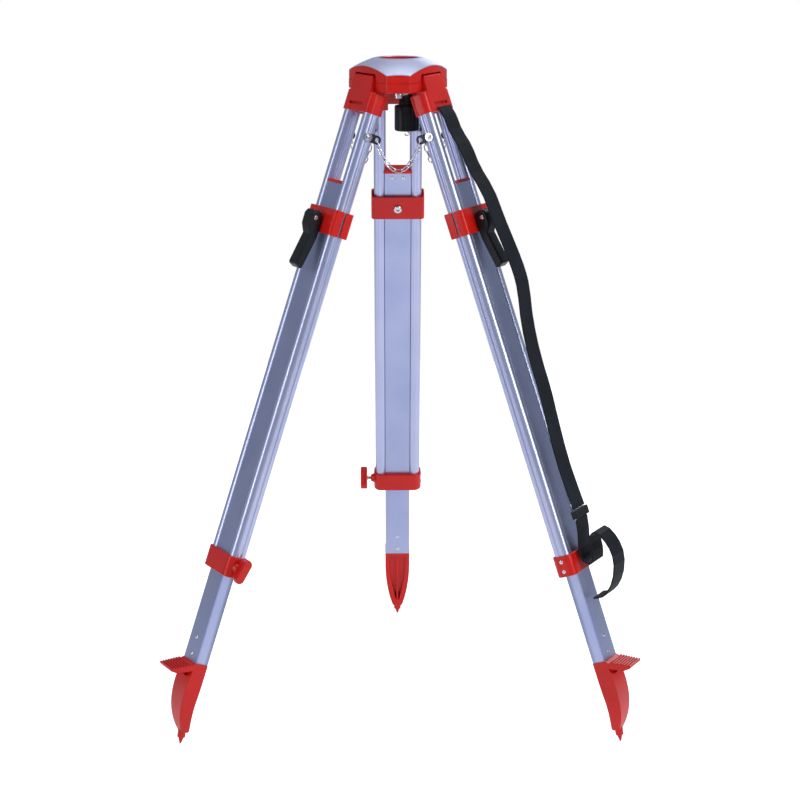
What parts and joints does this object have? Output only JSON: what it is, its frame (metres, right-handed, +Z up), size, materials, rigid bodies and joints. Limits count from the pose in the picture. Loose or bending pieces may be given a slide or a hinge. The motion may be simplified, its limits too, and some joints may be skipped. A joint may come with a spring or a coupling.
{
  "type": "surveying tripod",
  "caption": "Surveying tripod: domed head with a fixing screw, telescoping railed legs with cam clamps and wing screws, pointed feet with pedals, spreader chains and a carrying strap.",
  "frame": {"origin": "the point on the ground straight below the centre of the head, with the legs set as shown", "axes": "+Z up through the head's opening; +Y toward the rear leg; the front legs stand 120 degrees either side of it"},
  "size_m": [0.777, 0.673, 1.086],
  "materials": {
    "red_paint": "glossy red enamel over cast aluminium",
    "aluminium": "satin anodised, faintly lavender",
    "steel": "bright zinc-plated",
    "black_plastic": "moulded, slightly glossy",
    "webbing": "woven flat webbing"
  },
  "bodies": {
    "head": {"head_top_plate": "aluminium", "head_casting": "red_paint", "head_lower_ring": "red_paint", "hinge_pin_rear": "steel", "hinge_pin_left": "steel", "hinge_pin_right": "steel", "arm_pivot_screw": "steel", "front_chain": "steel", "left_chain": "steel", "right_chain": "steel"},
    "screw_arm": {"screw_arm": "steel"},
    "screw_slider": {"screw_slider": "steel"},
    "fixing_screw": {"fixing_screw": "steel", "screw_knob": "black_plastic", "plumb_hook": "steel"},
    "rear_leg": {"rear_hinge_casting": "red_paint", "rear_rail_a": "aluminium", "rear_rail_b": "aluminium", "rear_collar": "red_paint", "rear_chain_tab_a": "steel", "rear_chain_tab_b": "steel"},
    "rear_extension": {"rear_extension": "aluminium", "rear_extension_cap": "red_paint", "rear_clamp_inner": "red_paint", "rear_clamp_outer": "red_paint", "rear_clamp_bolt": "steel", "rear_foot": "red_paint"},
    "rear_lever": {"rear_cam_lever": "black_plastic"},
    "rear_thumb_screw": {"rear_thumb_screw": "red_paint"},
    "left_leg": {"left_hinge_casting": "red_paint", "left_rail_a": "aluminium", "left_rail_b": "aluminium", "left_collar": "red_paint", "left_chain_tab_a": "steel", "left_chain_tab_b": "steel"},
    "left_extension": {"left_extension": "aluminium", "left_extension_cap": "red_paint", "left_clamp_inner": "red_paint", "left_clamp_outer": "red_paint", "left_clamp_bolt": "steel", "left_foot": "red_paint"},
    "left_lever": {"left_cam_lever": "black_plastic"},
    "left_thumb_screw": {"left_thumb_screw": "red_paint"},
    "right_leg": {"right_hinge_casting": "red_paint", "right_rail_a": "aluminium", "right_rail_b": "aluminium", "right_collar": "red_paint", "right_chain_tab_a": "steel", "right_chain_tab_b": "steel", "strap_run": "webbing", "strap_loop": "webbing", "strap_keeper": "black_plastic"},
    "right_extension": {"right_extension": "aluminium", "right_extension_cap": "red_paint", "right_clamp_inner": "red_paint", "right_clamp_outer": "red_paint", "right_clamp_bolt": "steel", "right_foot": "red_paint"},
    "right_lever": {"right_cam_lever": "black_plastic"},
    "right_thumb_screw": {"right_thumb_screw": "red_paint"}
  },
  "joints": [
    {"name": "arm_swing", "type": "hinge", "parent": "head", "child": "screw_arm", "pos_m": [0, -0.062, 1.0348], "axis": [0, 0, 1], "range_deg": [-3, 22]},
    {"name": "screw_travel", "type": "slide", "parent": "screw_arm", "child": "screw_slider", "axis": [0.225, 0.9744, 0], "range_m": [-0.008, 0.008]},
    {"name": "screw_spin", "type": "hinge", "parent": "screw_slider", "child": "fixing_screw", "pos_m": [0.01395, -0.00159, 1.02], "axis": [0, 0, 1], "continuous": true},
    {"name": "rear_leg_hinge", "type": "hinge", "parent": "head", "child": "rear_leg", "pos_m": [0, 0.049, 1.051], "axis": [-1, 0, 0], "range_deg": [-15, 18], "deforming": ["left_chain", "right_chain"]},
    {"name": "rear_extension_slide", "type": "slide", "parent": "rear_leg", "child": "rear_extension", "axis": [0, 0.342, -0.9397], "range_m": [-0.1, 0.51]},
    {"name": "rear_lever_swing", "type": "hinge", "parent": "rear_extension", "child": "rear_lever", "pos_m": [0, 0.15863, 0.84189], "axis": [1, 0, 0], "range_deg": [0, 90]},
    {"name": "rear_thumb_spin", "type": "hinge", "parent": "rear_leg", "child": "rear_thumb_screw", "pos_m": [-0.06, 0.32398, 0.29549], "axis": [-1, 0, 0], "range_deg": [-360, 360]},
    {"name": "left_leg_hinge", "type": "hinge", "parent": "head", "child": "left_leg", "pos_m": [-0.04244, -0.0245, 1.051], "axis": [0.5, -0.866, 0], "range_deg": [-15, 18], "deforming": ["front_chain", "left_chain"]},
    {"name": "left_extension_slide", "type": "slide", "parent": "left_leg", "child": "left_extension", "axis": [-0.2962, -0.171, -0.9397], "range_m": [-0.1, 0.51]},
    {"name": "left_lever_swing", "type": "hinge", "parent": "left_extension", "child": "left_lever", "pos_m": [-0.13738, -0.07932, 0.84189], "axis": [-0.5, 0.866, 0], "range_deg": [0, 90]},
    {"name": "left_thumb_spin", "type": "hinge", "parent": "left_leg", "child": "left_thumb_screw", "pos_m": [-0.25058, -0.21395, 0.29549], "axis": [0.5, -0.866, 0], "range_deg": [-360, 360]},
    {"name": "right_leg_hinge", "type": "hinge", "parent": "head", "child": "right_leg", "pos_m": [0.04244, -0.0245, 1.051], "axis": [0.5, 0.866, 0], "range_deg": [-15, 18], "deforming": ["front_chain", "right_chain"]},
    {"name": "right_extension_slide", "type": "slide", "parent": "right_leg", "child": "right_extension", "axis": [0.2962, -0.171, -0.9397], "range_m": [-0.1, 0.51], "deforming": ["strap_run", "strap_loop", "strap_keeper"]},
    {"name": "right_lever_swing", "type": "hinge", "parent": "right_extension", "child": "right_lever", "pos_m": [0.13738, -0.07932, 0.84189], "axis": [-0.5, -0.866, 0], "range_deg": [0, 90]},
    {"name": "right_thumb_spin", "type": "hinge", "parent": "right_leg", "child": "right_thumb_screw", "pos_m": [0.31058, -0.11003, 0.29549], "axis": [0.5, 0.866, 0], "range_deg": [-360, 360]}
  ]
}
